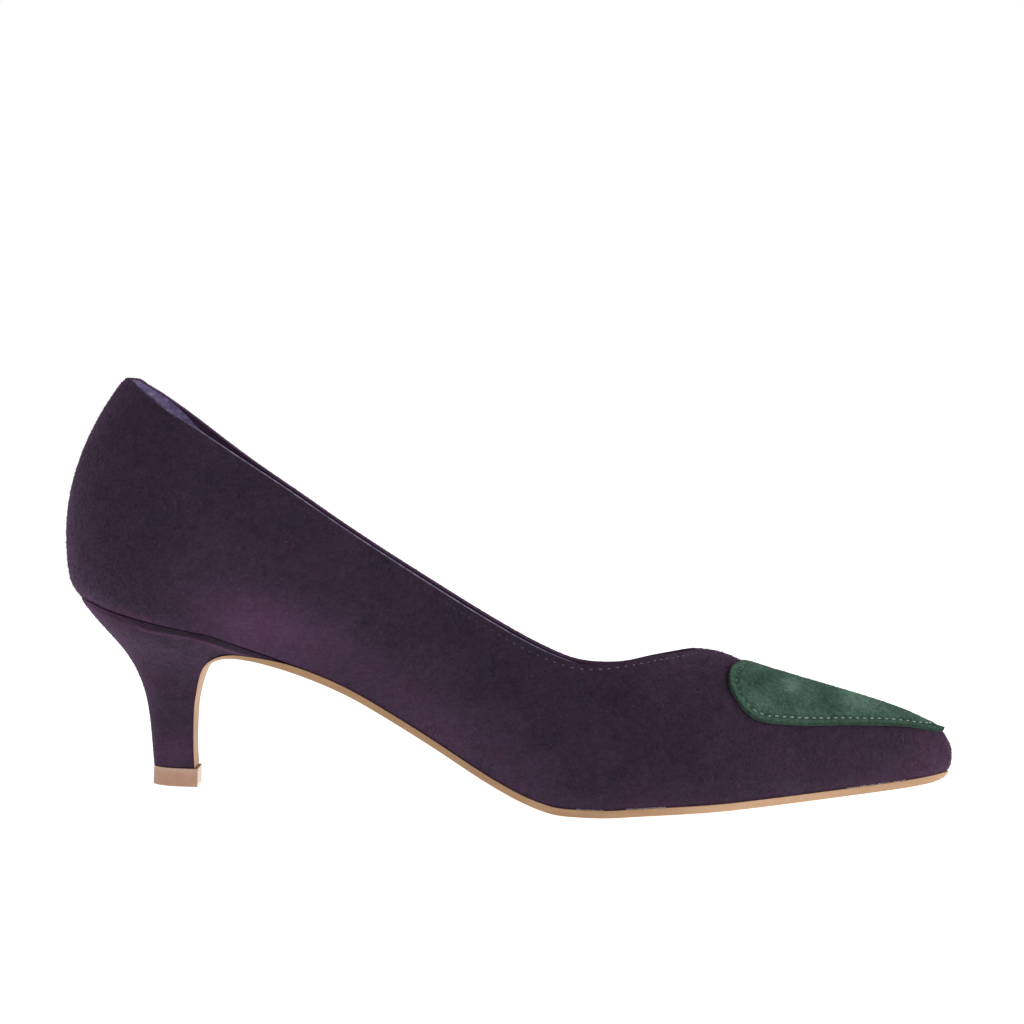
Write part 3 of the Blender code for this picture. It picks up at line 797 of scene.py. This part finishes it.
heart = copyNode("heart_patch", "heartSuede")
selectSharp(heart)
creaseSelected(heart)
tipStart = pointsOf(heart)[:, 0].max() - heartPlan["tipCrease"] * mm
openEdit(heart, "VERT")
bpy.ops.mesh.select_all(action="DESELECT")
closeEdit()
for vertex in heart.data.vertices:
    vertex.select = vertex.co.x > tipStart
bpy.ops.object.mode_set(mode="EDIT")
bpy.ops.transform.vert_crease(value=1)
closeEdit()
subdivide(heart, heartPlan["levels"])
selectSharp(heart)
topChain = max(selectedChains(heart), key=meanHeight)
print("heart outline", len(topChain), "points")
bevelSelected(heart, heartPlan["edgeRound"], heartPlan["edgeSteps"])
thicker = heartPlan["thick"] / heartPlan["stock"]
moved = []
inset = []
for point in pointsOf(heart):
    _, _, height = overUpper(Vector(point))
    away = np.linalg.norm(topChain - point, axis=1).min() / mm
    height = (height / mm - heartPlan["gap"]) * thicker
    if height > heartPlan["thick"] / 2:
        height -= heartPlan["groove"] * bell(away - heartPlan["inset"], heartPlan["grooveWide"])
    reach = max(0, 1 - (topChain[:, 0].max() - point[0]) / (heartPlan["tipLength"] * mm)) ** 2
    spot, normal, _ = overUpper(Vector(point) + Vector((reach * heartPlan["tipOut"] * mm, 0, 0)))
    moved.append(spot + normal * (height - heartPlan["sink"]) * mm)
    inset.append(away)
setPoints(heart, moved)
smooth(heart)
brushTones(heart, heartPlan["toneAndPaintedLight"], heartPlan["strokes"])
inset = np.array(inset)
# darker along the outline, partly the cut edge's own colour and partly painted shade
paintLightAndShade(heart, heartPlan["edgeTone"] * bell(inset, heartPlan["shadeWide"]))
# painted shade in the groove along the stitches
paintLightAndShade(heart, heartPlan["grooveShade"] * bell(inset - heartPlan["inset"], heartPlan["shadeWide"]))
greenSuede = suede("green suede", heartPlan["tones"], heartPlan["look"])
dress(heart, greenSuede, "heart_suede", "heart_patch")
growNap("heartNapFibres", heart, heartPlan["hairs"], isHeartTop, greenSuede, "heart_suede")
heartSurface = surfaceOf(heart)

# Stitches: one small slug of thread, copied along a line
threadPlan = {
    "around": 8, "along": 6, "smooth": 80,
    "look": {
        "grain": 0.25, "cloud": 3, "stretch": (1, 1, 1), "grainTone": 0.2, "cloudTone": 0.4,
        "bump": 0.3, "bumpDepth": 0.05, "roughness": 0.7, "specular": 0.3,
    },
}


def rounded(line, times):  # corner cutting on a closed line
    for _ in range(times):
        after = np.roll(line, -1, axis=0)
        line = np.stack([line * 0.75 + after * 0.25, line * 0.25 + after * 0.75], 1).reshape(-1, 3)
    return line


def spaced(line, pitch):  # evenly spaced places on a closed line
    ring = np.concatenate([line, line[:1]])
    reach = np.concatenate([[0], np.cumsum(np.linalg.norm(np.diff(ring, axis=0), axis=1))])
    count = int(reach[-1] / (pitch * mm))
    places = np.linspace(0, reach[-1], count, endpoint=False)
    return np.stack([np.interp(places, reach, ring[:, axis]) for axis in range(3)], 1)


def runsOf(line):  # which way a closed line runs at each of its places
    return np.roll(line, -1, axis=0) - np.roll(line, 1, axis=0)


def threadSlug(thread):  # rounded slug lying along x
    bpy.ops.object.select_all(action="DESELECT")
    bpy.ops.mesh.primitive_uv_sphere_add(segments=threadPlan["around"], ring_count=threadPlan["along"],
                                         radius=0.5, rotation=(0, math.radians(90), 0))
    slug = bpy.context.active_object
    slug.scale = (thread["high"] * mm, thread["wide"] * mm, thread["long"] * mm)
    bpy.ops.object.transform_apply(location=True, rotation=True, scale=True)
    shape = pointsOf(slug)
    faces = [tuple(face.vertices) for face in slug.data.polygons]
    bpy.data.objects.remove(slug, do_unlink=True)
    return shape, faces


def sew(name, line, runs, surface, thread, slot):
    shape, faces = threadSlug(thread)
    dice = np.random.default_rng(thread["seed"])
    corners = []
    skins = []
    for place, run in zip(line, runs):
        spot, normal, _, _ = surface.find_nearest(Vector(place))
        run = (Vector(run) - normal * Vector(run).dot(normal)).normalized()
        turn = np.array([run, normal.cross(run), normal])
        start = len(corners) * len(shape)
        size = 1 + thread["spread"] * dice.uniform(-1, 1, 3)
        corners.append((shape * size) @ turn + np.array(spot - normal * thread["sink"] * mm))
        skins += [tuple(start + index for index in face) for face in faces]
    piece = joinedPiece(name, np.concatenate(corners), skins)
    smooth(piece, threadPlan["smooth"])
    brushTones(piece, thread["toneAndPaintedLight"], thread["strokes"])
    dress(piece, leather(name + " thread", thread["tones"], threadPlan["look"]), slot)


# Stitches along the topline
toplineThread = {
    "pitch": 2.4, "long": 0.95, "wide": 0.55, "high": 0.35, "below": 2.0, "sink": 0.05, "cuts": 3,
    "spread": 0.15, "seed": 3, "toneAndPaintedLight": 0.0, "strokes": [{"at": (42, 40), "size": (45, 60), "tone": 0.75}],
    "tones": [(0.0, (0.028, 0.019, 0.032)), (0.5, (0.080, 0.066, 0.082)), (1.0, (0.18, 0.16, 0.18))],
}


def belowRim(line, drop):  # the line moved down the outside of the wall
    lower = []
    for place, run in zip(line, runsOf(line)):
        _, normal, _, _ = upperSurface.find_nearest(Vector(place) - Vector((0, 0, drop)))
        down = Vector(run).normalized().cross(normal).normalized()
        lower.append(Vector(place) + (down if down.z < 0 else -down) * drop)
    return np.array(lower)


rimLine = spaced(rounded(rimLoop, toplineThread["cuts"]), toplineThread["pitch"])
toplineRow = belowRim(rimLine, toplineThread["below"] * mm)
sew("toplineStitches", toplineRow, runsOf(toplineRow), upperSurface, toplineThread, "upper_suede")

# Stitches around the heart
heartThread = {
    "pitch": 2.3, "long": 1.3, "wide": 0.6, "high": 0.4, "sink": 0.05, "fine": 0.4, "clear": 0.93,
    "spread": 0.15, "seed": 4, "toneAndPaintedLight": 0.6, "strokes": [{"at": (64, 37), "size": (9, 8), "tone": -0.55}],
    "tones": [(0.0, (0.06, 0.10, 0.08)), (0.5, (0.20, 0.28, 0.23)), (1.0, (0.42, 0.48, 0.43))],
}


def insideOutline(line, inset):
    # the outline moved in over the heart, without the places that come too near it
    middle = Vector(topChain.mean(axis=0))
    moved = []
    for place, run in zip(line, runsOf(line)):
        _, normal, _, _ = upperSurface.find_nearest(Vector(place))
        side = Vector(run).normalized().cross(normal).normalized()
        away = Vector(place) - middle
        if (away + side * inset).length > away.length:
            side = -side
        moved.append(place + np.array(side) * inset)
    least = heartThread["clear"] * inset
    return np.array([spot for spot in moved if np.linalg.norm(line - spot, axis=1).min() > least])


outline = spaced(topChain, heartThread["fine"])
heartRow = spaced(insideOutline(outline, heartPlan["inset"] * mm), heartThread["pitch"])
sew("heartStitches", heartRow, runsOf(heartRow), heartSurface, heartThread, "heart_suede")

# Dried cement in the seam between upper and sole, on the outer side
cement = {
    "runs": [(21, 27.5), (34.5, 44.7), (96.5, 113)], "pitch": 0.9, "long": 1.1, "wide": 0.3, "high": 0.25,
    "sink": 0.02, "highest": 4.5, "lowest": -1.5, "step": 0.1, "from": -80,
    "spread": 0.45, "seed": 5, "toneAndPaintedLight": 0.5, "strokes": [],
    "tones": [(0.0, (0.22, 0.19, 0.20)), (0.5, (0.46, 0.42, 0.43)), (1.0, (0.68, 0.63, 0.62))],
}
soleSurface = surfaceOf(sole)
outsoleTop = heightAlong("outsole", max)


def seamAt(x):  # where, going down the outside, the sole comes before the upper
    last = None
    for step in np.arange(cement["highest"], cement["lowest"], -cement["step"]):
        start = Vector((x * mm, cement["from"] * mm, outsoleTop(x * mm) + step * mm))
        wall, edge = (surface.ray_cast(start, Vector((0, 1, 0))) for surface in (upperSurface, soleSurface))
        if edge[0] and (not wall[0] or edge[3] < wall[3]):
            break
        last = wall[0] or last
    return last


spots = np.concatenate([np.arange(start, end, cement["pitch"]) for start, end in cement["runs"]])
seam = np.array([spot for spot in map(seamAt, spots) if spot])
print("cement spots", len(seam))
sew("cementTraces", seam, np.tile((1.0, 0, 0), (len(seam), 1)), upperSurface, cement, "sole_leather")

# Camera at the photograph's angle
cameraView = {
    "lens": 124.45, "sensor": 36, "spot": (-0.49, -998.57, 140), "drop": 59, "reach": 1000, "roll": 2.26,
}
pitch = math.atan2(cameraView["drop"], cameraView["reach"])
roll = math.radians(cameraView["roll"])
ahead = Vector((0, math.cos(pitch), -math.sin(pitch)))
level = Vector((1, 0, 0))
upright = level.cross(ahead)
right = level * math.cos(roll) + upright * math.sin(roll)
top = upright * math.cos(roll) - level * math.sin(roll)
cameraData = bpy.data.cameras.new("camera")
cameraData.lens = cameraView["lens"]
cameraData.sensor_width = cameraView["sensor"]
camera = bpy.data.objects.new("camera", cameraData)
bpy.context.scene.collection.objects.link(camera)
turn = Matrix((right, top, -ahead)).transposed()
camera.matrix_world = Matrix.Translation(Vector(cameraView["spot"]) * mm) @ turn.to_4x4()
bpy.context.scene.camera = camera
print("camera set")

# Floor and light, in metres and watts
lighting = {
    "floorSize": 12, "floorTone": 0.8, "floorRoughness": 0.9, "floorGlow": 0.9, "sky": 0.25, "backdrop": 1.0,
    "boxSize": 1.0, "aim": (0, 0, 0.05),
    "boxes": {
        "left": {"at": (-1.0, -0.25, 0.55), "power": 2.0},
        "right": {"at": (1.0, -0.15, 0.5), "power": 9.0},
    },
}
white = (1, 1, 1, 1)
bpy.ops.object.select_all(action="DESELECT")
bpy.ops.mesh.primitive_plane_add(size=lighting["floorSize"])
floor = bpy.context.active_object
floor.name = "floor"
floorFinish, _, floorShader = newMaterial("pale floor")
floorShader.inputs["Base Color"].default_value = (*[lighting["floorTone"]] * 3, 1)
floorShader.inputs["Roughness"].default_value = lighting["floorRoughness"]
floorShader.inputs["Emission Color"].default_value = white
floorShader.inputs["Emission Strength"].default_value = lighting["floorGlow"]
floor.data.materials.append(floorFinish)

for side, box in lighting["boxes"].items():
    light = bpy.data.lights.new(side + " softbox", "AREA")
    light.size = lighting["boxSize"]
    light.energy = box["power"]
    lamp = bpy.data.objects.new(side + " softbox", light)
    lamp.location = box["at"]
    lamp.rotation_euler = (Vector(lighting["aim"]) - Vector(box["at"])).to_track_quat("-Z", "Y").to_euler()
    bpy.context.scene.collection.objects.link(lamp)

world = bpy.data.worlds.new("studio")
bpy.context.scene.world = world
world.use_nodes = True
tree = world.node_tree
studio = tree.nodes["Background"]
studio.inputs["Color"].default_value = white
studio.inputs["Strength"].default_value = lighting["sky"]
backdrop = addNode(tree, "Background", {"Color": white, "Strength": lighting["backdrop"]})
path = addNode(tree, "LightPath")
mix = addNode(tree, "MixShader", {0: path.outputs["Is Camera Ray"], 1: studio.outputs[0],
                                  2: backdrop.outputs[0]})
tree.links.new(mix.outputs[0], tree.nodes["World Output"].inputs["Surface"])
bpy.context.scene.view_settings.view_transform = "Standard"
print("floor and light set")
